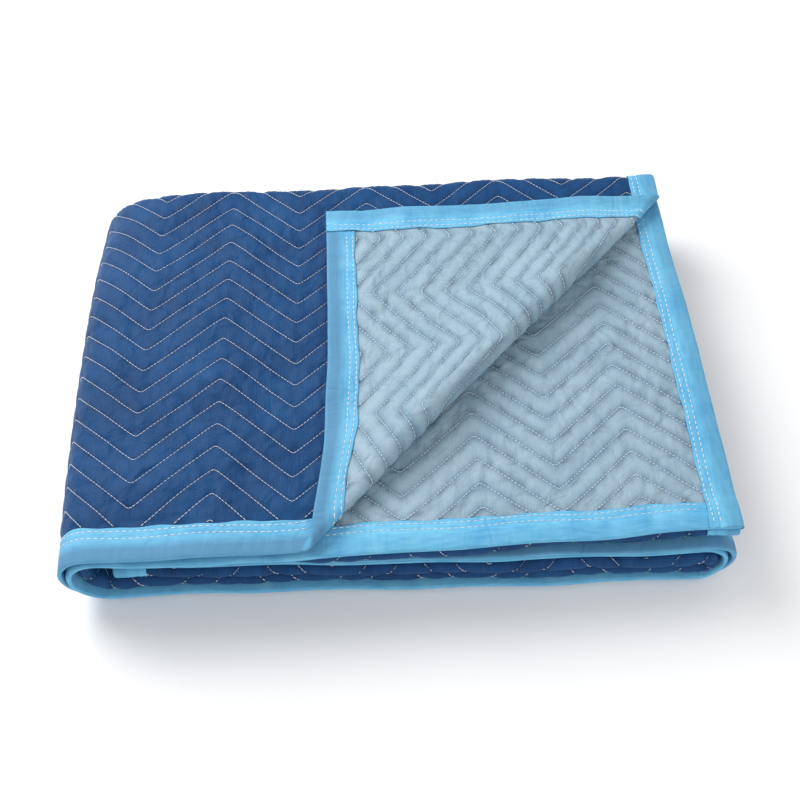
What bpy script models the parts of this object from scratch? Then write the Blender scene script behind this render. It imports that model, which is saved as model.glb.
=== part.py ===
"""A quilted moving blanket, folded for storage, with one corner turned back.

The cloth is 2.00 x 1.82 m.  It is folded in four along its short way and in three
along its long way, so twelve layers lie on each other.  Its front right top corner
is turned back and shows the pale backing.

Flat cloth coordinates: s runs along the long way from the outer end, t runs along
the short way from the top layer's front edge.  place() gives the spot where a point
of the flat cloth lies in the folded blanket.

Frame: X is the width, Y the depth (front at -Y), Z up, origin under the middle.
Units: metres.
"""
import math

import bmesh
import bpy
import numpy as np
from mathutils import Vector

# ---- driving dimensions ---------------------------------------------------------
WIDTH = 0.655               # folded blanket, side to side
DEPTH = 0.462               # folded blanket, front to back
PITCH = 0.0085              # from one layer to the next
PUFF = 0.0063               # cloth thickness between two stitch lines
SEWN = 0.0036               # cloth thickness on a stitch line
BOUND = 0.0026              # cloth thickness pressed under the binding
BINDING_WIDTH = 0.030       # how far the binding reaches in from the edge
BINDING_CLOTH = 0.001       # binding fabric, doubled and pressed
BINDING_ROUND = 0.0011      # how much its folded edge is rounded off
CORNER_OVER = 0.002         # how far an end strip runs on over a long strip's width
CORNER_STEP = 0.004         # and in how much it comes down to the cloth again
X_CUTS = [-0.10, -0.19, -0.25]    # where the runs' facets meet, right to left
Y_CUTS = [0.135, 0.06]            # and the layers', back to front
LEAST_CUT = 0.0008          # two cuts in the cloth never end closer than this
GAP = 0.00035               # clearance between two pieces
EDGE_GAP = 0.0008           # clearance between the cloth's cut edge and the binding
CORNER_GAP = 0.0005         # clearance between the two bindings at a corner
MARGIN = 0.008              # quilting rises to its full height over this much cloth

ROW = 0.02588                # from one stitch line to the next, along t
ZIGZAG_RISE = 0.0655        # depth of a zigzag, valley to peak, along t
ZIGZAG_HALF = 0.0766        # from a valley to the next peak, along s
ZIGZAG_START = 0.1196       # first valley from the outer end, on the top layer
ZIGZAG_SKEW = -0.0163       # how much that valley moves for each metre of t
ROW_START = 0.0204          # first stitch line, along t, in a valley
PUFF_SHAPE = 0.6            # below 1 the puffs are full and the channels narrow

EDGE_STEP = 0.006           # the second layer's edge lies this much before the first's
# how much the front turn and both edges lie behind their lines, at 11 places along s:
# five on the top run and its end; the lowest run's start, 0.25 m into it and its end;
# the middle run's start; the inner end
FRONT_PLACES = (0.0, 0.16, 0.28, 0.40, 0.50)
TURN_BACK = (0.004, 0.006, 0.0, 0.0, 0.009, 0.009, 0.003, 0.0045, 0.001, -0.001, -0.001)
EDGE_A_BACK = (0.0, 0.0, 0.0, 0.0, -0.005, -0.005, 0.0, 0.0, 0.0, 0.0, 0.0)
EDGE_B_BACK = (0.009, 0.004, 0.003, 0.001, -0.004, -0.001, 0.0, 0.0, 0.0, 0.0075, 0.006)
EDGE_PULL = 0.060           # the edges are pulled over this much of the cloth
LOWEST_LEFT = 0.002         # the lowest run lies this much to the front of the top one
LOWEST_RIGHT = 0.0105       # at its left end, and at its right
MIDDLE_RIGHT = 0.009        # the middle run at its right end
INNER_FORWARD = -0.005      # and at its inner end
WRAP_OUT = 0.007            # how far the right wrap reaches past the top layer's end
INNER_END = 0.052           # from the left side to the inner end of the cloth

# ---- turned-back corner ---------------------------------------------------------
CORNER_END = 0.2946         # distance of the roll from the cloth's corner, at its ends
CORNER_MIDDLE = 0.3050      # and in its middle
ROLL_END = 0.0045           # radius of the roll at its ends
ROLL_MIDDLE = 0.0130        # and in its middle
ROLL_FLAT = 0.240           # half length of the roll between the two bindings
FLAP_BENDS = 0.200          # the flap's edges bend up to the roll from here, from its corner
ROLL_SWELL = 0.120          # length over which it swells to its middle radius
FLAP_SLOPE = math.radians(14.0)     # how steeply the flap comes down behind the roll
FLAP_BEND = 0.100           # radius of the bend in which it comes to lie flat
FLAP_FALL = 0.105           # cloth between the roll and where it lies flat
FLAP_EASE = 0.090           # in this much cloth behind the fold it slides and gathers
FLAP_SLIDE = 0.010          # this much to the back right, along the fold
FLAP_GATHER = 0.010         # and this much towards the fold

UNCOVERED = 0.455           # the second layer shows up to here, s and t from its corner
HIDDEN_FROM = 0.480         # the top layer lies under the corner where s + t is over
HIDDEN_TO = 0.365           # this, and s and t are under this
FOLDED_TO = 0.500           # no fold of the corner reaches further, as s + t

# ---- unevenness -----------------------------------------------------------------
DROOP = 0.13                # how much lower the back left corner lies, as a share
DROOP_LONG = 0.085          # over this much of the width
DROOP_DEEP = 0.130          # and of the depth
DROOP_IN = 0.003            # and how far it is drawn in there
BULGE_LEFT = 0.006          # how far the left side stands out in its middle
DRAW_RIGHT = 0.003          # how far the right side is drawn in at the back
BULGE_BACK = 0.004          # how far the back stands out on the right
SWELL = 0.0012              # height of the top's long waves
SWELLS = (9.0, 5.0, 7.0, -4.0)    # how close they lie, in radians a metre
SWAY = 0.0015               # the front edge's long waves
SWAYS = (11.0, 20.0)        # and how close they lie

# ---- worked out -----------------------------------------------------------------
H = PITCH / 2.0
TURN_OUT = 3.0 * H          # radius of the outer back turn
STACK = 4.0 * PITCH         # one run of four layers
FLOOR = TURN_OUT + PUFF / 2.0       # height of the lowest run's middle
MIDDLE = FLOOR + STACK
TOP = MIDDLE + STACK
HEIGHT = TOP + FLOOR
WRAP_LEFT = STACK           # radius of the left wrap at the runs' middle
WRAP_RIGHT = STACK / 2.0    # and of the right wrap

EDGE_OUT = EDGE_GAP + BINDING_CLOTH      # how far the binding reaches past the cloth
END_RIGHT = WIDTH / 2.0 - EDGE_OUT
WRAP_LEFT_X = -WIDTH / 2.0 + WRAP_LEFT + TURN_OUT + PUFF / 2.0
WRAP_RIGHT_X = WIDTH / 2.0 + WRAP_OUT - WRAP_RIGHT - TURN_OUT - PUFF / 2.0
END_LEFT = -WIDTH / 2.0 + INNER_END

EDGE_B = -DEPTH / 2.0 + EDGE_OUT + LOWEST_RIGHT / 2.0
EDGE_A = EDGE_B + EDGE_STEP
BACK = DEPTH / 2.0 - TURN_OUT - PUFF / 2.0 + LOWEST_RIGHT / 2.0
FRONT = EDGE_B + H + PUFF / 2.0

# lengths of cloth, one after the other along s and along t
RUN_TOP = END_RIGHT - WRAP_LEFT_X
RUN_WRAP_LEFT = math.pi * (WRAP_LEFT + TURN_OUT)
RUN_BOTTOM = WRAP_RIGHT_X - WRAP_LEFT_X
RUN_WRAP_RIGHT = math.pi * (WRAP_RIGHT + TURN_OUT)
RUN_MIDDLE = WRAP_RIGHT_X - END_LEFT
LAYER_A = BACK - EDGE_A
LAYER_TURN_OUT = math.pi * TURN_OUT
LAYER_P = BACK - FRONT
LAYER_TURN = math.pi * H
LAYER_B = BACK - EDGE_B


def running(lengths):
    """The places where each stretch of cloth starts, and the whole length."""
    places = [0.0]
    for length in lengths:
        places.append(places[-1] + length)
    return places


S_MARKS = running([RUN_TOP, RUN_WRAP_LEFT, RUN_BOTTOM, RUN_WRAP_RIGHT, RUN_MIDDLE])
T_MARKS = running([LAYER_A, LAYER_TURN_OUT, LAYER_P, LAYER_TURN, LAYER_P, LAYER_TURN,
                   LAYER_B])
LONG = S_MARKS[-1]
SHORT = T_MARKS[-1]
FRONT_MARKS = FRONT_PLACES + (S_MARKS[1], S_MARKS[2], S_MARKS[2] + 0.25, S_MARKS[3],
                              S_MARKS[4], LONG)


def smooth(value):
    """0 below 0, 1 above 1, and a soft S between."""
    value = min(max(value, 0.0), 1.0)
    return value * value * (3.0 - 2.0 * value)


# ---- the folds ------------------------------------------------------------------
def fold_in_depth(s, t):
    """Section across the layers: y, height n over the run's middle, and the normal."""
    front = FRONT + float(np.interp(s, FRONT_MARKS, TURN_BACK))
    scale = (BACK - front) / LAYER_P
    a, out, p, turn, q, back = T_MARKS[1:7]
    if t < a:
        pull = float(np.interp(s, FRONT_MARKS, EDGE_A_BACK)) * smooth(1.0 - t / EDGE_PULL)
        return EDGE_A + t + pull, 3.0 * H, 0.0, 1.0
    if t < out:
        angle = math.pi / 2.0 - (t - a) / TURN_OUT
        ny, nn = math.cos(angle), math.sin(angle)
        return BACK + TURN_OUT * ny, TURN_OUT * nn, ny, nn
    if t < p:
        return BACK - (t - out) * scale, -3.0 * H, 0.0, -1.0
    if t < turn:
        angle = -math.pi / 2.0 - (t - p) / H
        ny, nn = math.cos(angle), math.sin(angle)
        return front + H * ny, -2.0 * H + H * nn, ny, nn
    if t < q:
        return front + (t - turn) * scale, -H, 0.0, 1.0
    if t < back:
        angle = -math.pi / 2.0 + (t - q) / H
        ny, nn = math.cos(angle), math.sin(angle)
        return BACK + H * ny, H * nn, -ny, -nn
    pull = float(np.interp(s, FRONT_MARKS, EDGE_B_BACK)) * smooth(1.0 - (SHORT - t) / EDGE_PULL)
    return BACK - (t - back) + pull, H, 0.0, -1.0


def wind(s, n):
    """The stack of four layers wound in three runs: x and z at height n in it."""
    top, left, bottom, right = S_MARKS[1:5]
    if s < top:
        return END_RIGHT - s, TOP + n
    if s < left:
        angle = math.pi / 2.0 + (s - top) / (WRAP_LEFT + TURN_OUT)
        radius = WRAP_LEFT + n
        return WRAP_LEFT_X + radius * math.cos(angle), MIDDLE + radius * math.sin(angle)
    if s < bottom:
        return WRAP_LEFT_X + (s - left), FLOOR - n
    if s < right:
        angle = -math.pi / 2.0 + (s - bottom) / (WRAP_RIGHT + TURN_OUT)
        radius = WRAP_RIGHT + n
        centre = (FLOOR + MIDDLE) / 2.0
        return WRAP_RIGHT_X + radius * math.cos(angle), centre + radius * math.sin(angle)
    return WRAP_RIGHT_X - (s - right), MIDDLE + n


def drift(s):
    """How far a run lies to the back of the top one: the fold is not quite square."""
    top, left, bottom, right, end = S_MARKS[1:]
    if s < left:
        return -LOWEST_LEFT * smooth((s - top) / (left - top))
    if s < bottom:
        return -LOWEST_LEFT - (LOWEST_RIGHT - LOWEST_LEFT) * (s - left) / (bottom - left)
    share = max(0.0, (s - right) / (end - right))
    turned = (LOWEST_RIGHT - MIDDLE_RIGHT) * smooth((s - bottom) / (right - bottom))
    return -LOWEST_RIGHT + turned + (MIDDLE_RIGHT - INNER_FORWARD) * share


def roll_share(v):
    """0 in the bindings at the roll's ends, 1 in its middle."""
    return smooth((ROLL_FLAT - abs(v)) / ROLL_SWELL)


def roll_start(v):
    """Where the cloth leaves the top layer, as a distance from its corner."""
    return CORNER_END + (CORNER_MIDDLE - CORNER_END) * roll_share(v)


def roll_radius(v):
    return ROLL_END + (ROLL_MIDDLE - ROLL_END) * roll_share(v)


def roll_profile(v, along):
    """Section of the turned-back corner: way back q, height z and turning angle."""
    radius = roll_radius(v)
    slope = FLAP_SLOPE * roll_share(v)
    first = radius * (math.pi + slope)
    if along < first:
        angle = along / radius
        return -radius * math.sin(angle), radius * (1.0 - math.cos(angle)), angle
    lands = 2.0 * ROLL_END
    fall = radius * (1.0 + math.cos(slope)) - FLAP_BEND * (1.0 - math.cos(slope)) - lands
    straight = fall / math.sin(slope) if slope > 0.001 else 0.0
    q = radius * math.sin(slope)
    z = radius * (1.0 + math.cos(slope))
    along -= first
    if along < straight:
        return q + along * math.cos(slope), z - along * math.sin(slope), math.pi + slope
    q += straight * math.cos(slope)
    z -= straight * math.sin(slope)
    along -= straight
    if along < FLAP_BEND * slope:
        rest = slope - along / FLAP_BEND
        q += FLAP_BEND * (math.sin(slope) - math.sin(rest))
        z -= FLAP_BEND * (math.cos(rest) - math.cos(slope))
        return q, z, math.pi + rest
    q += FLAP_BEND * math.sin(slope)
    return q + along - FLAP_BEND * slope, lands, math.pi


def turned_back(s, t, off):
    """A point of the corner that is rolled over and lies on the top layer."""
    q = (s + t) / math.sqrt(2.0)
    v = (t - s) / math.sqrt(2.0)
    start = roll_start(v)
    back, up, angle = roll_profile(v, start - q)
    eased = smooth((start - q) / FLAP_EASE)
    q = start + back - FLAP_GATHER * eased + off * math.sin(angle)
    v += FLAP_SLIDE * eased
    new_s = (q - v) / math.sqrt(2.0)
    new_t = (q + v) / math.sqrt(2.0)
    return END_RIGHT - new_s, EDGE_A + new_t, TOP + TURN_OUT + up + off * math.cos(angle)


def is_turned_back(s, t):
    if t > T_MARKS[1] or s > S_MARKS[1]:
        return False
    return (s + t) / math.sqrt(2.0) < roll_start((t - s) / math.sqrt(2.0))


def settle(x, y, z):
    """The hand-folded stack is uneven: a low back corner, waves in top and front."""
    share = z / HEIGHT
    low = smooth((-WIDTH / 2.0 + DROOP_LONG - x) / DROOP_LONG)
    low *= smooth((y - DEPTH / 2.0 + DROOP_DEEP) / DROOP_DEEP)
    a, b, c, d = SWELLS
    wave = math.sin(a * x + b * y + 1.0) * math.cos(c * y + d * x)
    up = z * (1.0 - DROOP * low) + SWELL * wave * share * share
    front = smooth(-y / (DEPTH / 2.0))
    sway = SWAY * front * math.sin(SWAYS[0] * x + SWAYS[1] * z)
    over = BULGE_LEFT * smooth((-x - 0.15) / 0.15) * math.cos(math.pi * y / DEPTH)
    over += DRAW_RIGHT * smooth((x - 0.20) / 0.12) * smooth((y - 0.02) / 0.12)
    behind = BULGE_BACK * smooth((x + 0.02) / 0.15) * smooth((y - 0.05) / 0.15)
    return x - over, y - DROOP_IN * low * share + behind - sway, up


def place(s, t, off):
    """The folded place of flat point (s, t), off above mid-cloth on its dark side."""
    if is_turned_back(s, t):
        return settle(*turned_back(s, t, off))
    y, n, ny, nn = fold_in_depth(s, t)
    x, z = wind(s, n + off * nn)
    return settle(x, y + off * ny + drift(s), z)


# ---- the quilting ---------------------------------------------------------------
def column_of(s, t):
    """Zigzag columns counted from the outer end, a whole number in each point."""
    return (s - ZIGZAG_START - ZIGZAG_SKEW * t) / ZIGZAG_HALF


def column_place(column, t):
    return ZIGZAG_START + ZIGZAG_SKEW * t + ZIGZAG_HALF * column


def row_of(s, t):
    """Stitch lines counted along t, a whole number on each line."""
    part = column_of(s, t) % 2.0
    share = part if part < 1.0 else 2.0 - part
    return (t - ROW_START - ZIGZAG_RISE * share) / ROW


def is_quilted_in_relief(s, t):
    """The cloth that shows: the top layer with its left wrap, back and turned-back
    corner, and the part of the second layer that the corner uncovers."""
    edge = GAP
    if t < T_MARKS[2] + edge:
        under_flap = s + t > HIDDEN_FROM and s < HIDDEN_TO and t < HIDDEN_TO
        return s < S_MARKS[2] + edge and not under_flap
    return t > T_MARKS[6] - edge and s + SHORT - t < UNCOVERED


def half_thickness(s, t):
    edge = min(s, LONG - s, t, SHORT - t) - BINDING_WIDTH
    share = smooth(edge / MARGIN) if edge > 0.0 else 0.0
    thick = PUFF
    if is_quilted_in_relief(s, t):
        puffed = abs(math.sin(math.pi * row_of(s, t))) ** PUFF_SHAPE
        thick = SEWN + (PUFF - SEWN) * puffed
    return (BOUND + (thick - BOUND) * share) / 2.0


# ---- cuts in the flat cloth -----------------------------------------------------
def steps(start, end, count):
    return [start + (end - start) * i / count for i in range(count + 1)]


def s_stations():
    """Straight cuts across the cloth, close together where it wraps."""
    places = [BINDING_WIDTH, BINDING_WIDTH + MARGIN]
    places += [END_RIGHT - x for x in X_CUTS]
    places += steps(S_MARKS[1], S_MARKS[2], 8)
    places += [S_MARKS[2] + x - WRAP_LEFT_X for x in reversed(X_CUTS)]
    places += steps(S_MARKS[3], S_MARKS[4], 6)
    places += [S_MARKS[4] + WRAP_RIGHT_X - x for x in X_CUTS if x > -0.24]
    places += [LONG - BINDING_WIDTH - MARGIN, LONG - BINDING_WIDTH]
    return places


def t_stations():
    """Straight cuts along the cloth, close together where the layers turn."""
    places = [BINDING_WIDTH, BINDING_WIDTH + MARGIN]
    places += [y - EDGE_A for y in reversed(Y_CUTS)]
    places += steps(T_MARKS[1], T_MARKS[2], 6)
    places += [T_MARKS[2] + BACK - y for y in Y_CUTS]
    places += steps(T_MARKS[3], T_MARKS[4], 4)
    places += [T_MARKS[5] + y - BACK for y in reversed(Y_CUTS)]
    places += steps(T_MARKS[5], T_MARKS[6], 3)
    places += [T_MARKS[6] + BACK - y for y in Y_CUTS]
    places += [SHORT - BINDING_WIDTH - MARGIN, SHORT - BINDING_WIDTH]
    return places


def flap_strip():
    """Closer cuts along the two strips of the turned-back corner, up to its roll."""
    rolled_from = math.sqrt(2.0) * (CORNER_END - math.pi * ROLL_END) - BINDING_WIDTH
    return steps(0.0, FLAP_BENDS, 4)[1:] + steps(FLAP_BENDS, rolled_from, 19)[1:-1]


def low_corner_strip():
    """Closer cuts along the inner end, in the low back corner of each layer."""
    places = []
    for y in steps(Y_CUTS[0], BACK, 7)[1:-1] + steps(Y_CUTS[1], Y_CUTS[0], 4)[1:-1]:
        places += [y - EDGE_A, T_MARKS[2] + BACK - y]
        places += [T_MARKS[5] + y - BACK, T_MARKS[6] + BACK - y]
    return places


def layer_strip(start, end):
    """Closer cuts along a strip that shows flat, in the second layer."""
    return steps(start, end, 7)[1:-1]


ROLL_PARTS = [0.0, 0.2, 0.4, 0.6, 0.8, 1.0]            # cuts around the roll
ROLL_CUTS = [0.0, 0.13, 0.19, ROLL_FLAT, 0.34]         # and across it, from its middle


def roll_cut(share, v):
    """Distance from the corner of a crease-wise cut through the roll."""
    return roll_start(v) - share * math.pi * roll_radius(v)


def flap_cut(share, v):
    """The same for the stretch that comes down behind the roll."""
    return roll_cut(1.0, v) - share * FLAP_FALL * roll_share(v)


def cut(sheet, first, second, inside):
    """Cut the flat sheet along the line through two points, where inside allows."""
    faces = [face for face in sheet.faces if inside(face.calc_center_median())]
    edges = {edge for face in faces for edge in face.edges}
    points = {point for face in faces for point in face.verts}
    way = Vector((second[0] - first[0], second[1] - first[1], 0.0))
    across = Vector((way.y, -way.x, 0.0)).normalized()
    bmesh.ops.bisect_plane(sheet, geom=faces + list(edges) + list(points), dist=LEAST_CUT,
                           plane_co=(first[0], first[1], 0.0), plane_no=across)


def cut_columns(sheet, t0, t1, s0, s1):
    """Cuts along the zigzag's points, and along each stitch line and puff between."""
    first = math.floor(column_of(s0, t1)) - 1
    last = math.ceil(column_of(s1, t0)) + 1

    def in_patch(c):
        return s0 < c.x < s1 and t0 < c.y < t1 and is_quilted_in_relief(c.x, c.y)

    for column in range(first, last + 1):
        cut(sheet, (column_place(column, t0), t0), (column_place(column, t1), t1), in_patch)
    for column in range(first, last):
        def in_column(c, column=column):
            return in_patch(c) and column < column_of(c.x, c.y) < column + 1

        rise = ZIGZAG_RISE if column % 2 == 0 else -ZIGZAG_RISE
        low = 0.0 if column % 2 == 0 else ZIGZAG_RISE
        line = math.floor((t0 - ROW_START - ZIGZAG_RISE) / (ROW / 2.0))
        while ROW_START + line * ROW / 2.0 < t1:
            t = ROW_START + line * ROW / 2.0 + low
            s = column_place(column, t)
            cut(sheet, (s, t), (column_place(column + 1, t + rise), t + rise), in_column)
            line += 1


def cut_borders(sheet):
    """Cuts along the borders of the cloth that is quilted in relief."""
    end = HIDDEN_TO
    cut(sheet, (end, 0.0), (end, 1.0), lambda c: c.y < T_MARKS[1])
    cut(sheet, (0.0, end), (1.0, end), lambda c: c.x < end and c.y < T_MARKS[1])
    cut(sheet, (HIDDEN_FROM, 0.0), (0.0, HIDDEN_FROM), lambda c: max(c.x, c.y) < end)
    cut(sheet, (0.0, SHORT - UNCOVERED), (UNCOVERED, SHORT),
        lambda c: c.x < UNCOVERED and c.y > SHORT - UNCOVERED)


def cut_roll(sheet):
    """Cuts that follow the roll of the turned-back corner."""
    ends = [-v for v in reversed(ROLL_CUTS[1:])] + ROLL_CUTS
    root = math.sqrt(2.0)

    def flat(q, v):
        return (q - v) / root, (q + v) / root

    def in_strip(c):
        return min(c.x, c.y) < BINDING_WIDTH and c.x + c.y < FOLDED_TO

    def in_roll(c, v0=ends[0], v1=ends[-1]):
        q = (c.x + c.y) / root
        v = (c.y - c.x) / root
        return 0.10 < q < FOLDED_TO / root - 0.02 and v0 < v < v1 and min(c.x, c.y) > BINDING_WIDTH

    for share in ROLL_PARTS:
        q = roll_cut(share, ROLL_FLAT)
        cut(sheet, flat(q, 0.0), flat(q, 1.0), in_strip)
    for v in ends[1:-1]:
        cut(sheet, flat(0.0, v), flat(1.0, v), in_roll)
    for v0, v1 in zip(ends, ends[1:]):
        def in_part(c, v0=v0, v1=v1):
            return in_roll(c, v0, v1)

        for share in ROLL_PARTS:
            cut(sheet, flat(roll_cut(share, v0), v0), flat(roll_cut(share, v1), v1), in_part)
        if roll_share(v0) + roll_share(v1) > 0.0:
            for share in (0.5, 1.0):
                cut(sheet, flat(flap_cut(share, v0), v0), flat(flap_cut(share, v1), v1),
                    in_part)


def flat_cloth():
    """The whole flat cloth with every cut in it, as triangles."""
    sheet = bmesh.new()
    corners = [(0.0, 0.0), (LONG, 0.0), (LONG, SHORT), (0.0, SHORT)]
    sheet.faces.new([sheet.verts.new((s, t, 0.0)) for s, t in corners])
    for s in s_stations():
        cut(sheet, (s, 0.0), (s, 1.0), lambda c: True)
    for t in t_stations():
        cut(sheet, (0.0, t), (1.0, t), lambda c: True)
    edge = BINDING_WIDTH
    for along in flap_strip():
        cut(sheet, (along, 0.0), (along, 1.0), lambda c: c.y < edge)
        cut(sheet, (0.0, along), (1.0, along), lambda c: c.x < edge)
    for s in layer_strip(0.0, S_MARKS[1]):
        cut(sheet, (s, 0.0), (s, 1.0), lambda c: c.y > SHORT - edge)
    for t in layer_strip(T_MARKS[6], SHORT):
        cut(sheet, (0.0, t), (1.0, t), lambda c: c.x < edge)
    for t in low_corner_strip():
        cut(sheet, (0.0, t), (1.0, t), lambda c: c.x > LONG - edge)
    cut_borders(sheet)
    inner = edge + MARGIN
    cut_columns(sheet, inner, T_MARKS[2], inner, S_MARKS[2])
    cut_columns(sheet, T_MARKS[6], SHORT - inner, inner, UNCOVERED)
    cut_roll(sheet)
    bmesh.ops.triangulate(sheet, faces=sheet.faces[:])
    return sheet


# ---- solids ---------------------------------------------------------------------
def finish(name, mesh, material):
    data = bpy.data.meshes.new(name)
    mesh.to_mesh(data)
    mesh.free()
    data.materials.append(material)
    piece = bpy.data.objects.new(name, data)
    bpy.context.collection.objects.link(piece)
    return piece


def quilted_pad(material):
    """Face cloth, wadding and backing, quilted together and cut out as one piece."""
    sheet = flat_cloth()
    solid = bmesh.new()
    upper = {}
    lower = {}
    for point in sheet.verts:
        s, t = point.co.x, point.co.y
        half = half_thickness(s, t)
        upper[point] = solid.verts.new(place(s, t, half))
        lower[point] = solid.verts.new(place(s, t, -half))
    for face in sheet.faces:
        solid.faces.new([upper[point] for point in face.verts])
        solid.faces.new([lower[point] for point in reversed(face.verts)])
    for edge in sheet.edges:
        if len(edge.link_faces) == 1:
            a, b = edge.verts
            solid.faces.new([upper[a], upper[b], lower[b], lower[a]])
    sheet.free()
    bmesh.ops.recalc_face_normals(solid, faces=solid.faces[:])
    return finish("quilted_pad", solid, material)


def channel(inside):
    """Section of a binding: how far in from the edge, and how far off mid-cloth."""
    outside = inside + BINDING_CLOTH
    reach = BINDING_WIDTH
    rounded = outside - BINDING_ROUND
    return [(reach, outside), (0.0, outside), (-EDGE_OUT, rounded),
            (-EDGE_OUT, -rounded), (0.0, -outside), (reach, -outside),
            (reach, -inside), (-EDGE_GAP, -inside), (-EDGE_GAP, inside), (reach, inside)]


def roll_stations():
    """Where the roll's cuts cross a strip: place on the edge, and slant 1."""
    v = -ROLL_FLAT
    return [(math.sqrt(2.0) * roll_cut(share, v), -1.0) for share in reversed(ROLL_PARTS)]


def binding(name, stations, flat, inside_at, material):
    """A strip folded over an edge of the cloth and sewn down on both sides.

    Each station is a place along the edge and a slant; flat() turns a place along
    the edge and a distance in from it into s and t.
    """
    solid = bmesh.new()
    rings = []
    for along, slant in stations:
        ring = []
        for inward, off in channel(inside_at(along)):
            s, t = flat(along + slant * inward, inward)
            ring.append(solid.verts.new(place(s, t, off)))
        rings.append(ring)
    for one, two in zip(rings, rings[1:]):
        for i in range(len(one)):
            j = (i + 1) % len(one)
            solid.faces.new([one[i], one[j], two[j], two[i]])
    for ring in (rings[0], rings[-1]):
        for corners in ([0, 1, 8, 9], [1, 2, 8], [2, 3, 7, 8], [3, 4, 7], [4, 5, 6, 7]):
            solid.faces.new([ring[i] for i in corners])
    bmesh.ops.triangulate(solid, faces=solid.faces[:])
    bmesh.ops.recalc_face_normals(solid, faces=solid.faces[:])
    return finish(name, solid, material)


def stations(places, rolled):
    """Straight stations in order, and the slanted ones where the strip is rolled."""
    kept = []
    for along in sorted(places):
        if not kept or along - kept[-1] > 0.001:
            kept.append(along)
    return sorted([(along, 0.0) for along in kept] + (roll_stations() if rolled else []))


def long_bindings(material):
    """The two strips on the long edges; they end under the end strips."""
    inside = BOUND / 2.0 + GAP
    places = s_stations() + [0.0, LONG]
    binding("binding_top_layer_edge", stations(places + flap_strip(), True),
            lambda along, inward: (along, inward), lambda along: inside, material)
    shown = layer_strip(0.0, S_MARKS[1])
    binding("binding_second_layer_edge", stations(places + shown, False),
            lambda along, inward: (along, SHORT - inward), lambda along: inside, material)


def end_bindings(material):
    """The two strips on the short ends; they pass over the long ones' ends."""
    thin = BOUND / 2.0 + GAP
    thick = thin + BINDING_CLOTH + CORNER_GAP
    over = BINDING_WIDTH + CORNER_OVER
    step = CORNER_STEP

    def inside_at(along):
        return thick if along < over + 0.001 or along > SHORT - over - 0.001 else thin

    ends = [-EDGE_OUT, over, over + step, SHORT - over - step, SHORT - over,
            SHORT + EDGE_OUT]

    def between_ends(places):
        return ends + [t for t in places if over + step < t < SHORT - over - step]

    outer = t_stations() + flap_strip() + layer_strip(T_MARKS[6], SHORT)
    binding("binding_outer_end", stations(between_ends(outer), True),
            lambda along, inward: (inward, along), inside_at, material)
    inner = t_stations() + low_corner_strip()
    binding("binding_inner_end", stations(between_ends(inner), False),
            lambda along, inward: (LONG - inward, along), inside_at, material)


# ---- materials ------------------------------------------------------------------
def material(name, colour, roughness):
    finish_of = bpy.data.materials.new(name)
    finish_of.use_nodes = True
    shader = finish_of.node_tree.nodes["Principled BSDF"]
    shader.inputs["Base Color"].default_value = (*colour, 1.0)
    shader.inputs["Roughness"].default_value = roughness
    shader.inputs["Metallic"].default_value = 0.0
    return finish_of


for old in list(bpy.data.objects):
    bpy.data.objects.remove(old, do_unlink=True)

quilted_pad(material("woven_polyester_navy", (0.022, 0.085, 0.230), 0.75))
edging = material("nonwoven_binding_blue", (0.120, 0.400, 0.720), 0.70)
long_bindings(edging)
end_bindings(edging)
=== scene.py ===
import math

import bpy
import numpy as np
from mathutils import Matrix


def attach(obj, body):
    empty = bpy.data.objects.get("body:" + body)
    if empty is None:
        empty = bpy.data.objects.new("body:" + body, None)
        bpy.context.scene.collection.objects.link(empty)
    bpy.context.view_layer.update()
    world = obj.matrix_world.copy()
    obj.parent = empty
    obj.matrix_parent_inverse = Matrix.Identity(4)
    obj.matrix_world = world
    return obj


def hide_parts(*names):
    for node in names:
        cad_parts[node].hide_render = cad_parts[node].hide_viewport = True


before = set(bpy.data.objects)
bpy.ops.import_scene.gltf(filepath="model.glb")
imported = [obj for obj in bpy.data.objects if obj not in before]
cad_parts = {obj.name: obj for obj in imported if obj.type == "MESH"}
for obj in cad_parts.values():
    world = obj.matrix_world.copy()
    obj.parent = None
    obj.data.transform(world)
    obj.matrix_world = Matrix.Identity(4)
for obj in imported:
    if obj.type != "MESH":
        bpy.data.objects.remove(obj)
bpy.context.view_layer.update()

# ---- Quilted pad ------------------------------------------------------------------
# Woven polyester face, cotton wadding and a paler backing, quilted together in the
# roll with rows of zigzag lockstitch and cut to size.  Here it is folded in four along
# its short way, wound in three along its long way, and one corner is turned back.
WIDTH = 0.655               # folded blanket, side to side
DEPTH = 0.462               # folded blanket, front to back
PITCH = 0.0085              # from one layer to the next
PUFF = 0.0072               # thickness between two stitch lines
SEWN = 0.0022               # and on a line
BOUND = 0.0022              # pressed flat under the binding
BINDING_WIDTH = 0.030       # how far the binding reaches in from the edge
EDGE_OUT = 0.0018           # and how far it stands out past the cloth
MARGIN = 0.010              # quilting rises to its full height over this much cloth
PUFF_SHAPE = 0.62           # below 1 the puffs are full and the channels narrow
PUCKER = 0.0014             # height of the small puckers that the thread draws up
PUCKER_LONG = 0.017         # and their length along a line

ROW = 0.02588               # from one stitch line to the next
ZIGZAG_RISE = 0.0655        # depth of a zigzag, valley to peak
ZIGZAG_HALF = 0.0766        # from a valley to the next peak
ZIGZAG_START = 0.1196       # first valley from the outer end
ZIGZAG_SKEW = -0.0163       # how much that valley moves for each metre of t
ZIGZAG_SHARP = 0.995        # at 1 its turns are sharp corners
ROW_START = 0.0204          # first stitch line, in a valley

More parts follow.
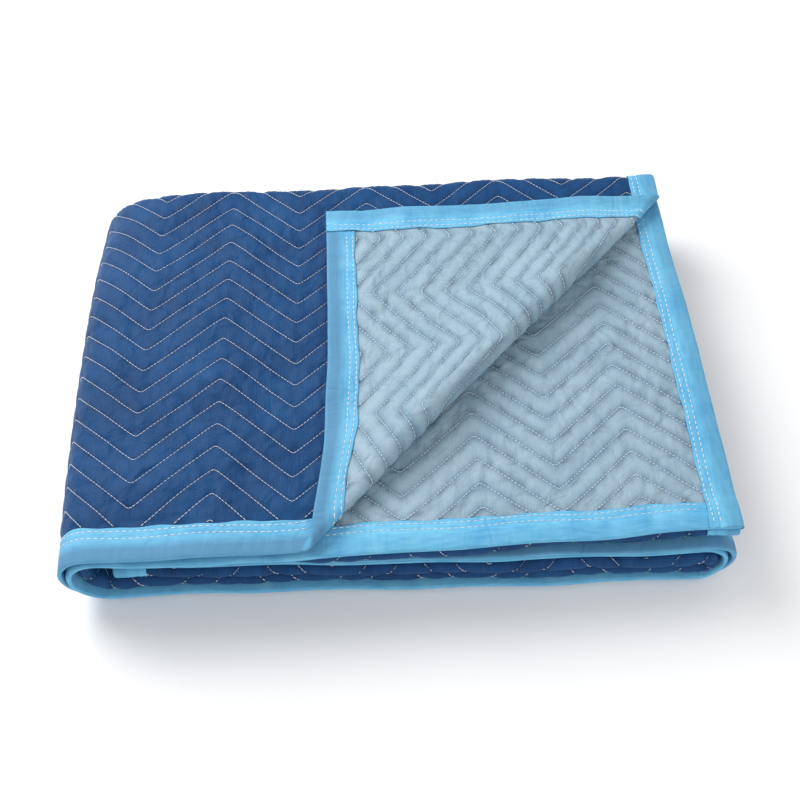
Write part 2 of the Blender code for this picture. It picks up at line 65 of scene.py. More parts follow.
H = PITCH / 2.0             # also the radius of an inner turn
SPACED = 0.0063             # the thickness that the layers are spaced for
TURN_OUT = 3.0 * H          # radius of the outer back turn
STACK = 4.0 * PITCH         # one run of four layers
FLOOR = TURN_OUT + SPACED / 2.0     # height of the lowest run's middle
MIDDLE = FLOOR + STACK
TOP = MIDDLE + STACK
HEIGHT = TOP + FLOOR
WRAP_LEFT = STACK           # radius of the left wrap at the runs' middle
WRAP_RIGHT = STACK / 2.0    # and of the right wrap
WRAP_OUT = 0.007            # how far the right wrap reaches past the top layer's end
INNER_END = 0.052           # from the left side to the inner end of the cloth
EDGE_STEP = 0.006           # the second layer's edge lies this much before the first's
LOWEST_LEFT = 0.002         # the lowest run lies this much to the front of the top one
LOWEST_RIGHT = 0.0105       # at its left end, and at its right
MIDDLE_RIGHT = 0.009        # the middle run at its right end
INNER_FORWARD = -0.005      # and at its inner end

END_RIGHT = WIDTH / 2.0 - EDGE_OUT
WRAP_LEFT_X = -WIDTH / 2.0 + WRAP_LEFT + TURN_OUT + SPACED / 2.0
WRAP_RIGHT_X = WIDTH / 2.0 + WRAP_OUT - WRAP_RIGHT - TURN_OUT - SPACED / 2.0
END_LEFT = -WIDTH / 2.0 + INNER_END
EDGE_B = -DEPTH / 2.0 + EDGE_OUT + LOWEST_RIGHT / 2.0
EDGE_A = EDGE_B + EDGE_STEP
BACK = DEPTH / 2.0 - TURN_OUT - SPACED / 2.0 + LOWEST_RIGHT / 2.0
FRONT = EDGE_B + H + SPACED / 2.0

# where each stretch of flat cloth starts: s along the long way, from the outer end,
# and t along the short way, from the top layer's front edge
RUN_TOP = END_RIGHT - WRAP_LEFT_X
LAYER_P = BACK - FRONT
S_MARKS = np.cumsum([0.0, RUN_TOP, math.pi * (WRAP_LEFT + TURN_OUT),
                     WRAP_RIGHT_X - WRAP_LEFT_X, math.pi * (WRAP_RIGHT + TURN_OUT),
                     WRAP_RIGHT_X - END_LEFT])
T_MARKS = np.cumsum([0.0, BACK - EDGE_A, math.pi * TURN_OUT, LAYER_P, math.pi * H,
                     LAYER_P, math.pi * H, BACK - EDGE_B])
LONG = float(S_MARKS[-1])
SHORT = float(T_MARKS[-1])
# how much further back the front turn and the two edges lie, by place along s
FRONT_MARKS = [0.0, 0.16, 0.28, 0.40, 0.50, S_MARKS[1], S_MARKS[2], S_MARKS[2] + 0.25,
               S_MARKS[3], S_MARKS[4], LONG]
TURN_BACK = [0.004, 0.006, 0.0, 0.0, 0.009, 0.009, 0.003, 0.0045, 0.001, -0.001, -0.001]
EDGE_A_BACK = [0.0, 0.0, 0.0, 0.0, -0.005, -0.005, 0.0, 0.0, 0.0, 0.0, 0.0]
EDGE_B_BACK = [0.009, 0.004, 0.003, 0.001, -0.004, -0.001, 0.0, 0.0, 0.0, 0.0075, 0.006]
EDGE_PULL = 0.060           # the edges are pulled over this much of the cloth

CORNER_END = 0.2946         # distance of the roll from the cloth's corner, at its ends
CORNER_MIDDLE = 0.3050      # and in its middle
ROLL_END = 0.0045           # radius of the roll at its ends
ROLL_MIDDLE = 0.0130        # and in its middle
ROLL_FLAT = 0.240           # half length of the roll between the two bindings
ROLL_SWELL = 0.120          # length over which it swells to its middle radius
FLAP_SLOPE = math.radians(14.0)     # how steeply the flap comes down behind the roll
FLAP_BEND = 0.100           # radius of the bend in which it comes to lie flat
FLAP_EASE = 0.090           # in this much cloth behind the fold it slides and gathers
FLAP_SLIDE = 0.010          # this much to the back right, along the fold
FLAP_GATHER = 0.010         # and this much towards the fold

DROOP = 0.13                # how much lower the back left corner lies, as a share
DROOP_LONG = 0.085          # over this much of the width
DROOP_DEEP = 0.130          # and of the depth
DROOP_IN = 0.003            # and how far it is drawn in there
BULGE_LEFT = 0.006          # how far the left side stands out in its middle
DRAW_RIGHT = 0.003          # how far the right side is drawn in at the back
BULGE_BACK = 0.004          # how far the back stands out on the right
SWELL = 0.0012              # height of the top's long waves
SWELLS = (9.0, 5.0, 7.0, -4.0)    # how close they lie, in radians a metre
SWAY = 0.0015               # the front edge's long waves
SWAYS = (11.0, 20.0)        # and how close they lie
CREASE_ENDS = 0.05          # a crease fades out over this much of its length


def smooth(value):
    """0 below 0, 1 above 1, and a soft S between."""
    value = np.clip(value, 0.0, 1.0)
    return value * value * (3.0 - 2.0 * value)


def fold_in_depth(s, t):
    """Section across the layers: y, height n over the run's middle, and the normal."""
    front = FRONT + np.interp(s, FRONT_MARKS, TURN_BACK)
    edge_a = np.interp(s, FRONT_MARKS, EDGE_A_BACK) * smooth(1.0 - t / EDGE_PULL)
    edge_b = np.interp(s, FRONT_MARKS, EDGE_B_BACK) * smooth(1.0 - (SHORT - t) / EDGE_PULL)
    scale = (BACK - front) / LAYER_P
    a, out, p, turn, q, back = T_MARKS[1:7]
    over = math.pi / 2.0 - (t - a) / TURN_OUT
    under = -math.pi / 2.0 - (t - p) / H
    inner = -math.pi / 2.0 + (t - q) / H
    where = [t < a, t < out, t < p, t < turn, t < q, t < back]
    y = np.select(where, [EDGE_A + t + edge_a, BACK + TURN_OUT * np.cos(over),
                          BACK - (t - out) * scale, front + H * np.cos(under),
                          front + (t - turn) * scale, BACK + H * np.cos(inner)],
                  BACK - (t - back) + edge_b)
    n = np.select(where, [3.0 * H + 0.0 * t, TURN_OUT * np.sin(over), -3.0 * H + 0.0 * t,
                          -2.0 * H + H * np.sin(under), -H + 0.0 * t,
                          H * np.sin(inner)], H)
    ny = np.select(where, [0.0 * t, np.cos(over), 0.0 * t, np.cos(under), 0.0 * t,
                           -np.cos(inner)], 0.0)
    nn = np.select(where, [1.0 + 0.0 * t, np.sin(over), -1.0 + 0.0 * t, np.sin(under),
                           1.0 + 0.0 * t, -np.sin(inner)], -1.0)
    return y, n, ny, nn


def wind(s, n):
    """The stack of four layers wound in three runs: x and z at height n in it."""
    top, left, bottom, right = S_MARKS[1:5]
    where = [s < top, s < left, s < bottom, s < right]
    one = math.pi / 2.0 + (s - top) / (WRAP_LEFT + TURN_OUT)
    two = -math.pi / 2.0 + (s - bottom) / (WRAP_RIGHT + TURN_OUT)
    x = np.select(where, [END_RIGHT - s, WRAP_LEFT_X + (WRAP_LEFT + n) * np.cos(one),
                          WRAP_LEFT_X + (s - left),
                          WRAP_RIGHT_X + (WRAP_RIGHT + n) * np.cos(two)],
                  WRAP_RIGHT_X - (s - right))
    z = np.select(where, [TOP + n, MIDDLE + (WRAP_LEFT + n) * np.sin(one), FLOOR - n,
                          (FLOOR + MIDDLE) / 2.0 + (WRAP_RIGHT + n) * np.sin(two)],
                  MIDDLE + n)
    return x, z


def drift(s):
    """How far a run lies to the back of the top one."""
    top, left, bottom, right, end = S_MARKS[1:]
    lowest = LOWEST_LEFT + (LOWEST_RIGHT - LOWEST_LEFT) * (s - left) / (bottom - left)
    return -np.select([s < left, s < bottom],
                      [LOWEST_LEFT * smooth((s - top) / (left - top)), lowest],
                      LOWEST_RIGHT + (MIDDLE_RIGHT - LOWEST_RIGHT)
                      * smooth((s - bottom) / (right - bottom))
                      + (INNER_FORWARD - MIDDLE_RIGHT)
                      * np.maximum(0.0, (s - right) / (end - right)))


def roll_share(v):
    """0 at the roll's ends and 1 where it has its middle radius."""
    return smooth((ROLL_FLAT - np.abs(v)) / ROLL_SWELL)


def roll_start(v):
    """Where the cloth leaves the top layer, as a distance from its corner."""
    return CORNER_END + (CORNER_MIDDLE - CORNER_END) * roll_share(v)


def roll_profile(v, along):
    """Section of the turned-back corner: way back q, height z and turning angle."""
    radius = ROLL_END + (ROLL_MIDDLE - ROLL_END) * roll_share(v)
    slope = np.maximum(FLAP_SLOPE * roll_share(v), 1e-6)
    lands = 2.0 * ROLL_END
    first = radius * (math.pi + slope)
    fall = radius * (1.0 + np.cos(slope)) - FLAP_BEND * (1.0 - np.cos(slope)) - lands
    straight = np.where(slope > 0.001, fall / np.sin(slope), 0.0)
    angle = along / radius
    q1 = radius * np.sin(slope)
    z1 = radius * (1.0 + np.cos(slope))
    on = along - first
    q2 = q1 + straight * np.cos(slope)
    z2 = z1 - straight * np.sin(slope)
    bent = on - straight
    rest = slope - np.minimum(bent / FLAP_BEND, slope)
    q3 = q2 + FLAP_BEND * (np.sin(slope) - np.sin(rest))
    z3 = z2 - FLAP_BEND * (np.cos(rest) - np.cos(slope))
    where = [along < first, on < straight, bent < FLAP_BEND * slope]
    q = np.select(where, [-radius * np.sin(angle), q1 + on * np.cos(slope), q3],
                  q2 + FLAP_BEND * np.sin(slope) + bent - FLAP_BEND * slope)
    z = np.select(where, [radius * (1.0 - np.cos(angle)), z1 - on * np.sin(slope), z3],
                  lands)
    turned = np.select(where, [angle, math.pi + slope, math.pi + rest], math.pi)
    return q, z, turned


def turned_back(s, t, off):
    """A point of the corner that is rolled over and lies on the top layer."""
    root = math.sqrt(2.0)
    v = (t - s) / root
    start = roll_start(v)
    along = start - (s + t) / root
    back, up, angle = roll_profile(v, along)
    eased = smooth(along / FLAP_EASE)
    q = start + back - FLAP_GATHER * eased + off * np.sin(angle)
    v = v + FLAP_SLIDE * eased
    return (END_RIGHT - (q - v) / root, EDGE_A + (q + v) / root,
            TOP + TURN_OUT + up + off * np.cos(angle))


def is_turned_back(s, t):
    """Whether a flat point belongs to the rolled-over corner."""
    root = math.sqrt(2.0)
    return ((t <= T_MARKS[1]) & (s <= S_MARKS[1])
            & ((s + t) / root < roll_start((t - s) / root)))


# soft troughs and ridges pressed into the pack: x, y of both ends, depth, width
CREASES = [(-0.29, -0.17, -0.22, 0.17, -0.0012, 0.020),
           (-0.15, -0.20, -0.11, 0.05, -0.0010, 0.016),
           (-0.20, 0.02, -0.13, 0.20, 0.0010, 0.022),
           (-0.04, 0.12, 0.10, 0.16, -0.0010, 0.020),
           (0.05, -0.16, 0.24, -0.10, -0.0012, 0.022),
           (0.20, -0.05, 0.27, 0.10, 0.0010, 0.018),
           (-0.07, 0.20, -0.01, 0.235, 0.0026, 0.012),
           (-0.02, 0.215, 0.03, 0.24, -0.0018, 0.012)]


def settle(x, y, z):
    """The hand-folded stack is uneven: a low back corner, waves and creases."""
    share = z / HEIGHT
    low = (smooth((-WIDTH / 2.0 + DROOP_LONG - x) / DROOP_LONG)
           * smooth((y - DEPTH / 2.0 + DROOP_DEEP) / DROOP_DEEP))
    wave = (np.sin(SWELLS[0] * x + SWELLS[1] * y + 1.0)
            * np.cos(SWELLS[2] * y + SWELLS[3] * x))
    front = smooth(-y / (DEPTH / 2.0))
    up = z * (1.0 - DROOP * low) + SWELL * wave * share * share
    # the top's short waves, and its pressed creases
    ruffle = (0.0005 * np.sin(61.0 * x + 33.0 * y) + 0.0005 * np.sin(38.0 * x - 71.0 * y)
              + 0.0004 * np.sin(97.0 * y + 23.0 * x + 2.0))
    for x0, y0, x1, y1, depth, width in CREASES:
        dx, dy = x1 - x0, y1 - y0
        length = math.hypot(dx, dy)
        along = ((x - x0) * dx + (y - y0) * dy) / length
        beside = ((y - y0) * dx - (x - x0) * dy) / length
        ends = smooth(along / CREASE_ENDS) * smooth((length - along) / CREASE_ENDS)
        ruffle = ruffle + depth * ends * np.exp(-(beside / width) ** 2)
    up = up + ruffle * share ** 3
    # the short waves of the edges and turns at the front, and of the back turns
    edge = 0.0009 * front * np.sin(43.0 * x + 55.0 * z + 0.7)
    up = up + 0.0006 * front * np.sin(31.0 * x + 70.0 * z) * smooth(z / 0.02)
    up = np.maximum(up, 0.0)
    back = 0.0010 * smooth(y / (DEPTH / 2.0)) * np.sin(37.0 * x - 48.0 * z)
    # the sides' and the back's bulges
    across = np.cos(math.pi * y / DEPTH)
    over = (-BULGE_LEFT * smooth((-x - 0.15) / 0.15) * across
            - DRAW_RIGHT * smooth((x - 0.20) / 0.12) * smooth((y - 0.02) / 0.12))
    behind = BULGE_BACK * smooth((x + 0.02) / 0.15) * smooth((y - 0.05) / 0.15)
    return (x + over, y - DROOP_IN * low * share + behind - edge + back
            - SWAY * front * np.sin(SWAYS[0] * x + SWAYS[1] * z), up)


def place(s, t, off):
    """The folded place of flat point (s, t), off above mid-cloth on its dark side."""
    s, t, off = np.broadcast_arrays(*[np.asarray(v, float) for v in (s, t, off)])
    y, n, ny, nn = fold_in_depth(s, t)
    x, z = wind(s, n + off * nn)
    y = y + off * ny + drift(s)
    fx, fy, fz = turned_back(s, t, off)
    turned = is_turned_back(s, t)
    x, y, z = settle(np.where(turned, fx, x), np.where(turned, fy, y),
                     np.where(turned, fz, z))
    return np.stack([x, y, z], axis=-1)


def zigzag(column):
    """0 in a valley and 1 on a peak of the zigzag, whose turns are a little round."""
    return np.arccos(ZIGZAG_SHARP * np.cos(math.pi * column)) / math.pi


def row_of(s, t):
    """Stitch lines counted along t, a whole number on each line."""
    share = zigzag((s - ZIGZAG_START - ZIGZAG_SKEW * t) / ZIGZAG_HALF)
    return (t - ROW_START - ZIGZAG_RISE * share) / ROW


def fullness(s, t):
    """0 on a stitch line, 1 on the top of the puff between two lines."""
    return np.abs(np.sin(math.pi * row_of(s, t))) ** PUFF_SHAPE


def half_thickness(s, t):
    """Half the pad's thickness: puffed, puckered, and pressed flat at its edges."""
    edge = np.minimum(np.minimum(s, LONG - s), np.minimum(t, SHORT - t))
    share = smooth((edge - BINDING_WIDTH - 0.001) / MARGIN)
    full = fullness(s, t)
    thick = SEWN + (PUFF - SEWN) * full
    row = np.floor(row_of(s, t))
    pucker = np.sin(s * 2.0 * math.pi / PUCKER_LONG + 2.4 * row
                    + 1.3 * np.sin(60.0 * s + row))
    uneven = 0.75 + 0.25 * np.sin(23.0 * s + 2.1 * row) * np.sin(17.0 * t + s * 9.0)
    thick = thick + PUCKER * pucker * full * (1.0 - full) * 4.0 * uneven
    thick = SEWN + (thick - SEWN) * (0.86 + 0.14 * uneven)
    return (BOUND + (thick - BOUND) * share) / 2.0


MESH_STEP = 0.0039          # about as far from one mesh line to the next, along s
BLOCK = 4                   # so many of them are one where the cloth doesn't show
WITHIN_ROW = [0.0, 0.045, 0.13, 0.29, 0.5, 0.71, 0.87, 0.955]  # lines in a row, along t
NEAR_TURN = 0.018           # the lines lie close this far from the front turn


def lines_along_s():
    """Mesh lines that follow the zigzag's turns.

    Each is s = a + b t, with the number of the line that starts its block.
    """
    last = int((LONG - 0.012 - ZIGZAG_START) / ZIGZAG_HALF)
    marks = [(0.0, 0.0)]
    marks += [(ZIGZAG_START + ZIGZAG_HALF * k, ZIGZAG_SKEW) for k in range(-1, last + 1)]
    marks += [(LONG, 0.0)]
    lines = []
    for (a0, b0), (a1, b1) in zip(marks, marks[1:]):
        count = max(BLOCK, BLOCK * round((a1 - a0) / MESH_STEP / BLOCK))
        for i in range(count):
            f = i / count
            lines.append((a0 + (a1 - a0) * f, b0 + (b1 - b0) * f, len(lines) - i % BLOCK))
    lines.append((LONG, 0.0, len(lines)))
    return np.array(lines)


def lines_along_t():
    """Mesh lines that follow the rows where the cloth shows, and run straight below.

    Each is a base, a share of the zigzag, the range it is clipped to, and its block.
    """
    out, p, turn, q, back = T_MARKS[2:7]
    lines = []

    def sheared(t0, t1):
        first = math.floor((t0 - ROW_START - ZIGZAG_RISE) / ROW)
        last = math.ceil((t1 - ROW_START) / ROW)
        for row in range(first, last + 1):
            start = len(lines)
            for part in WITHIN_ROW:
                lines.append((ROW_START + ROW * (row + part), 1.0, t0, t1, start))

    sheared(0.0, out)
    straight = [out]
    for end, steps in ((p - NEAR_TURN, 4), (p, 7), (turn, 8), (turn + NEAR_TURN, 7),
                       (q, 4), (back, 6)):
        straight += list(np.linspace(straight[-1], end, steps + 1)[1:])
    for t in straight[1:-1]:
        lines.append((t, 0.0, 0.0, SHORT, len(lines)))
    sheared(back, SHORT)
    return np.array(lines)


FACE_DOWN_TO = 0.395        # the turned-back corner lies dark side down up to s + t
ROLLED_TO = 0.455           # and its roll ends here, as s + t
COVERS_TO = 0.385           # the top layer lies under it up to here, s and t
UNCOVERED_TO = 0.463        # the second layer shows up to here, s + t from its corner
SEEN_TURN = 0.020           # cloth that shows to each side of the front turn
SEEN_BACK = 0.012           # and past the ends of the outer back turn
SEEN_MORE = 0.004           # and past other limits
SEEN_WRAP = 0.01            # and past the ends of the wraps
EDGE_STRIP = 0.045          # the binding and a little of the cloth beside it


def shows_dark(s, t):
    """Where the dark face shows."""
    a, out, p, turn = T_MARKS[1:5]
    folded = is_turned_back(s, t) & (s + t < FACE_DOWN_TO)
    covered = (s < COVERS_TO) & (t < COVERS_TO) & (s + t > ROLLED_TO)
    top = (t < out + SEEN_MORE) & (s < S_MARKS[2] + 0.002) & ~folded & ~covered
    turns = ((np.abs(t - (p + turn) / 2.0) < SEEN_TURN)
             | ((t > a - SEEN_BACK) & (t < out + SEEN_BACK)))
    wrap = ((s > S_MARKS[3] - SEEN_WRAP) & (s < S_MARKS[4] + SEEN_WRAP)
            & (t < out + SEEN_MORE))
    return top | turns | wrap


def shows_pale(s, t):
    """Where the backing shows: the turned-back corner and what it uncovers."""
    corner = (t < T_MARKS[1]) & (s + t < ROLLED_TO)
    below = (t > T_MARKS[6] - SEEN_MORE) & (s + SHORT - t < UNCOVERED_TO)
    return corner | below


def near_wraps(s, t):
    """The edges where the cloth wraps around, which the bindings follow closely."""
    left = (s > S_MARKS[1] - SEEN_WRAP) & (s < S_MARKS[2] + SEEN_WRAP)
    right = (s > S_MARKS[3] - SEEN_WRAP) & (s < S_MARKS[4] + SEEN_WRAP)
    return (left | right) & (np.minimum(t, SHORT - t) < EDGE_STRIP)


def hex_colour(code):
    """An sRGB hex colour as linear values."""
    parts = [int(code[i:i + 2], 16) / 255.0 for i in (1, 3, 5)]
    return tuple(c / 12.92 if c <= 0.04045 else ((c + 0.055) / 1.055) ** 2.4
                 for c in parts) + (1.0,)


def node(tree, kind, settings=(), inputs=(), links=()):
    """Add a node, set its properties and inputs, and link outputs into it."""
    made = tree.nodes.new(kind)
    for name, value in dict(settings).items():
        setattr(made, name, value)
    for name, value in dict(inputs).items():
        made.inputs[name].default_value = value
    for name, output in dict(links).items():
        tree.links.new(output, made.inputs[name])
    return made


def new_material(name):
    """A material, its node tree and its shader."""
    made = bpy.data.materials.new(name)
    made.use_nodes = True
    return made, made.node_tree, made.node_tree.nodes["Principled BSDF"]


def noise(tree, where, scale, detail, more=()):
    """The value of a noise texture at some places."""
    inputs = dict(more)
    inputs.update({"Scale": scale, "Detail": detail})
    return node(tree, "ShaderNodeTexNoise", (), inputs, {"Vector": where}).outputs["Fac"]


def stretched(tree, where, across, along):
    """Places drawn closer together across and along the flat cloth."""
    return node(tree, "ShaderNodeMapping", (), {"Scale": (across, along, 1.0)},
                {"Vector": where}).outputs[0]


def scaled_and_added(tree, value, factor, other):
    """One value times a factor, plus another."""
    return node(tree, "ShaderNodeMath", {"operation": "MULTIPLY_ADD"}, {1: factor},
                {0: value, 2: other}).outputs[0]


def product(tree, value, other):
    """One value times another."""
    return node(tree, "ShaderNodeMath", {"operation": "MULTIPLY"}, (),
                {0: value, 1: other}).outputs[0]


def ranged(tree, value, start, end, to_start=0.0, to_end=1.0):
    """A value moved from one range to another, and kept within it."""
    return node(tree, "ShaderNodeMapRange", (),
                {"From Min": start, "From Max": end, "To Min": to_start,
                 "To Max": to_end}, {"Value": value}).outputs[0]


def two_colours(tree, share, first, second):
    """A mix of two colours, each an sRGB hex code or another node's output."""
    inputs = {}
    links = {0: share}
    for socket, colour in ((6, first), (7, second)):
        if isinstance(colour, str):
            inputs[socket] = hex_colour(colour)
        else:
            links[socket] = colour
    return node(tree, "ShaderNodeMix", {"data_type": "RGBA"}, inputs, links).outputs[2]


def bump(tree, height, strength, distance, under=None):
    """A relief, on top of another one if there is one."""
    links = {"Height": height}
    if under is not None:
        links["Normal"] = under
    return node(tree, "ShaderNodeBump", (), {"Strength": strength, "Distance": distance},
                links).outputs[0]


def woven(name, dark, light, thread_mm, rough, raised, relief, crinkle, shine):
    """Plain-weave cloth: two sets of threads with slubs, raised so much; a painted
    highlight on the puffs' tops and painted shade down in the stitch channels, as strong as
    the painted-shading amount says; soft crinkles, crinkle metres deep, most on the lines."""
    made, tree, shader = new_material(name)
    flat = node(tree, "ShaderNodeUVMap", {"uv_map": "flat_cloth"}).outputs["UV"]
    # a wave texture's bands lie 0.314 over its scale apart
    across = 0.314 / (thread_mm / 1000.0)
    threads = [node(tree, "ShaderNodeTexWave", {"bands_direction": way},
                    {"Scale": across, "Distortion": 0.6, "Detail": 1.0,
                     "Detail Scale": 1.5}, {"Vector": flat}).outputs["Fac"]
               for way in ("X", "Y")]
    weave = product(tree, threads[0], threads[1])
    slub = noise(tree, stretched(tree, flat, 900.0, 60.0), 1.0, 3.0)
    cloud = noise(tree, flat, 16.0, 5.0, {"Roughness": 0.62})
    full = node(tree, "ShaderNodeAttribute", {"attribute_name": "fullness"}).outputs["Fac"]
    # painted highlight and painted shade: paler on the puffs' tops and darker down in the
    # stitch channels, standing in for how light falls on the quilting
    puff_shading_colour = ranged(tree, full, 0.0, 1.0, -relief, relief)
    mixed = scaled_and_added(tree, slub, 0.55, puff_shading_colour)
    mixed = scaled_and_added(tree, cloud, 0.75, mixed)
    mixed = scaled_and_added(tree, weave, 0.30, mixed)
    colour = two_colours(tree, ranged(tree, mixed, 0.25, 1.25), dark, light)
    tree.links.new(colour, shader.inputs["Base Color"])
    bumped = bump(tree, scaled_and_added(tree, slub, 0.5, weave), raised, 0.0006)
    tucks = noise(tree, flat, 52.0, 1.6, {"Roughness": 0.5, "Distortion": 0.4})
    tucks = product(tree, tucks, ranged(tree, full, 0.0, 1.0, 1.0, 0.45))
    bumped = bump(tree, tucks, 1.0, crinkle, bumped)
    tree.links.new(bumped, shader.inputs["Normal"])
    shader.inputs["Roughness"].default_value = rough
    shader.inputs["Specular IOR Level"].default_value = shine
    return made


def mesh_piece(name, points, faces, materials, flat=None, full=None, which=None):
    """A piece from arrays of points and faces.  flat is its UV map, in metres of flat
    cloth; full is how much it is puffed or pressed; which is each face's material."""
    mesh = bpy.data.meshes.new(name)
    mesh.from_pydata(points.tolist(), [], faces)
    for made in materials:
        mesh.materials.append(made)
    if which is not None:
        mesh.polygons.foreach_set("material_index", which)
    if flat is not None:
        layer = mesh.uv_layers.new(name="flat_cloth")
        corners = np.zeros(len(mesh.loops), dtype=np.int32)
        mesh.loops.foreach_get("vertex_index", corners)
        layer.data.foreach_set("uv", flat[corners].astype(np.float32).ravel())
    if full is not None:
        layer = mesh.attributes.new("fullness", "FLOAT", "POINT")
        layer.data.foreach_set("value", full.astype(np.float32))
    mesh.polygons.foreach_set("use_smooth", [True] * len(mesh.polygons))
    mesh.update()
    piece = bpy.data.objects.new(name, mesh)
    bpy.context.collection.objects.link(piece)
    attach(piece, "root")
    return piece


def fine_blocks(row_block, column_block, keep):
    """The blocks of crossings that keep all their lines, for the cloth shows there or
    in a block beside them; and the block that each line is in."""
    starts_i = np.unique(row_block)
    starts_j = np.unique(column_block)
    bi = np.searchsorted(starts_i, row_block)
    bj = np.searchsorted(starts_j, column_block)
    fine = np.zeros((len(starts_i), len(starts_j)), bool)
    np.logical_or.at(fine, (bi[:, None], bj[None, :]), keep)
    grown = fine.copy()
    grown[1:] |= fine[:-1]
    grown[:-1] |= fine[1:]
    more = grown.copy()
    more[:, 1:] |= grown[:, :-1]
    more[:, :-1] |= grown[:, 1:]
    return more, bi, bj


def cloth_mesh():
    """Points, faces and flat places of the whole cloth, as one closed skin."""
    along_s = lines_along_s()
    along_t = lines_along_t()
    a, b = along_s[:, 0][:, None], along_s[:, 1][:, None]
    base, sheared, t0, t1 = [along_t[:, k][None, :] for k in range(4)]
    t = np.broadcast_to(base, (len(along_s), len(along_t))).copy()
    for _ in range(4):          # t hangs on s and s on t, and four rounds settle both
        t = np.clip(t, t0, t1)
        column = (a + b * t - ZIGZAG_START - ZIGZAG_SKEW * t) / ZIGZAG_HALF
        t = base + sheared * ZIGZAG_RISE * zigzag(column)
    t = np.clip(t, t0, t1)
    s = a + b * t
    rim = (t <= 0.0) | (t >= SHORT)
    rim[0] = True
    rim[-1] = True
    keep = [shows_dark(s, t) | near_wraps(s, t), shows_pale(s, t) | near_wraps(s, t)]
    block_i = along_s[:, 2].astype(int)
    block_j = along_t[:, 4].astype(int)
    fine = []
    for side in (0, 1):
        more, bi, bj = fine_blocks(block_i, block_j, keep[side])
        fine.append(more)
    # both faces have the same points on the rim, where the walls between them stand
    on_rim = np.zeros_like(fine[0])
    np.logical_or.at(on_rim, (bi[:, None], bj[None, :]), rim)
    both = (fine[0] | fine[1]) & on_rim
    # crossings that were clipped to the same place become one point
    key = np.round(np.stack([s, t], axis=-1).reshape(-1, 2) * 1e7).astype(np.int64)
    _, first, same = np.unique(key, axis=0, return_index=True, return_inverse=True)
    same = same.reshape(-1)
    flat = np.stack([s.ravel()[first], t.ravel()[first]], axis=-1)
    count = len(flat)
    full = fullness(flat[:, 0], flat[:, 1])
    half = half_thickness(flat[:, 0], flat[:, 1])
    points = np.concatenate([place(flat[:, 0], flat[:, 1], half),
                             place(flat[:, 0], flat[:, 1], -half)])
    columns = len(along_t)
    i = np.arange(len(along_s))[:, None]
    j = np.arange(columns)[None, :]
    faces = []
    kinds = []
    for side in (0, 1):
        # each crossing stands for itself in a fine block, else its block's first does
        whole = (fine[side] | both)[bi[:, None], bj[None, :]]
        own = (np.where(whole, i, block_i[:, None]) * columns
               + np.where(whole, j, block_j[None, :]))
        own = same[own]
        quads = np.stack([own[:-1, :-1], own[:-1, 1:], own[1:, 1:], own[1:, :-1]],
                         axis=-1).reshape(-1, 4)
        # where some of a square's corners are one point, it is a triangle or nothing
        alike = quads == np.roll(quads, -1, axis=1)
        cross = (quads[:, 0] == quads[:, 2]) | (quads[:, 1] == quads[:, 3])
        fours = quads[(alike.sum(1) == 0) & ~cross]
        threes = quads[(alike.sum(1) == 1) & ~cross]
        drop = np.argmax(alike[(alike.sum(1) == 1) & ~cross], axis=1)
        kept = np.array([[k for k in range(4) if k != d] for d in range(4)])
        threes = np.take_along_axis(threes, kept[drop], axis=1)
        if side == 0:
            edges = np.concatenate([fours[:, [0, 1]], fours[:, [1, 2]], fours[:, [2, 3]],
                                    fours[:, [3, 0]], threes[:, [0, 1]],
                                    threes[:, [1, 2]], threes[:, [2, 0]]])
            ways = edges[:, 0] * count + edges[:, 1]
            back = edges[:, 1] * count + edges[:, 0]
            walls = edges[~np.isin(ways, back)]
        else:
            fours = fours[:, ::-1] + count
            threes = threes[:, ::-1] + count
        faces += fours.tolist() + threes.tolist()
        kinds += [side] * (len(fours) + len(threes))
    faces += [[q, p, p + count, q + count] for p, q in walls.tolist()]
    kinds += [1] * len(walls)
    used = np.unique(np.concatenate([np.array(f) for f in faces]))
    new = np.full(2 * count, -1)
    new[used] = np.arange(len(used))
    faces = [[int(new[k]) for k in f] for f in faces]
    return (points[used], faces, np.concatenate([flat, flat])[used],
            np.concatenate([full, full])[used], kinds)


# Navy polyester face: a tight, smooth plain weave, dark, with a faint satin shine and
# fine tucks along the stitch lines.  Its threads, 0.3 mm apart, are too fine to show
# and are drawn 1.5 mm apart, and so are the backing's.
# a faint painted highlight on the puffs and painted shade in the channels
face_cloth = woven("woven_polyester_navy", "#072046", "#22588e", 1.5, 0.50, 0.30, 0.10,
                   0.0075, 0.12)
# Polyester backing: the same weave in grey-blue, mottled and matt, with a strong painted
# highlight on the puffs and painted shade in the channels, and crinkled where it is sewn.
backing_cloth = woven("woven_polyester_backing", "#5d829b", "#a2bbc9", 1.5, 0.50, 0.40,
                      0.32, 0.0125, 0.40)

points, faces, flat, full, kinds = cloth_mesh()
pad = mesh_piece("quilted_pad_cloth", points, faces, [face_cloth, backing_cloth], flat,
                 full, kinds)
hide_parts("quilted_pad")

# ---- Quilting thread --------------------------------------------------------------
# Pale polyester thread, two strands locked through the pad, about four millimetres a
# stitch.  It pulls the cloth down into the lines between the puffs.
STITCH = 0.0040             # from one stitch to the next
STITCH_LONG = 0.0040        # length of thread that shows
STITCH_WIDE = 0.00085       # and its width
STITCH_WIDE_BACK = 0.0012   # the under thread lies looser
STITCH_HIGH = 0.0004        # its middle lies this much above the cloth


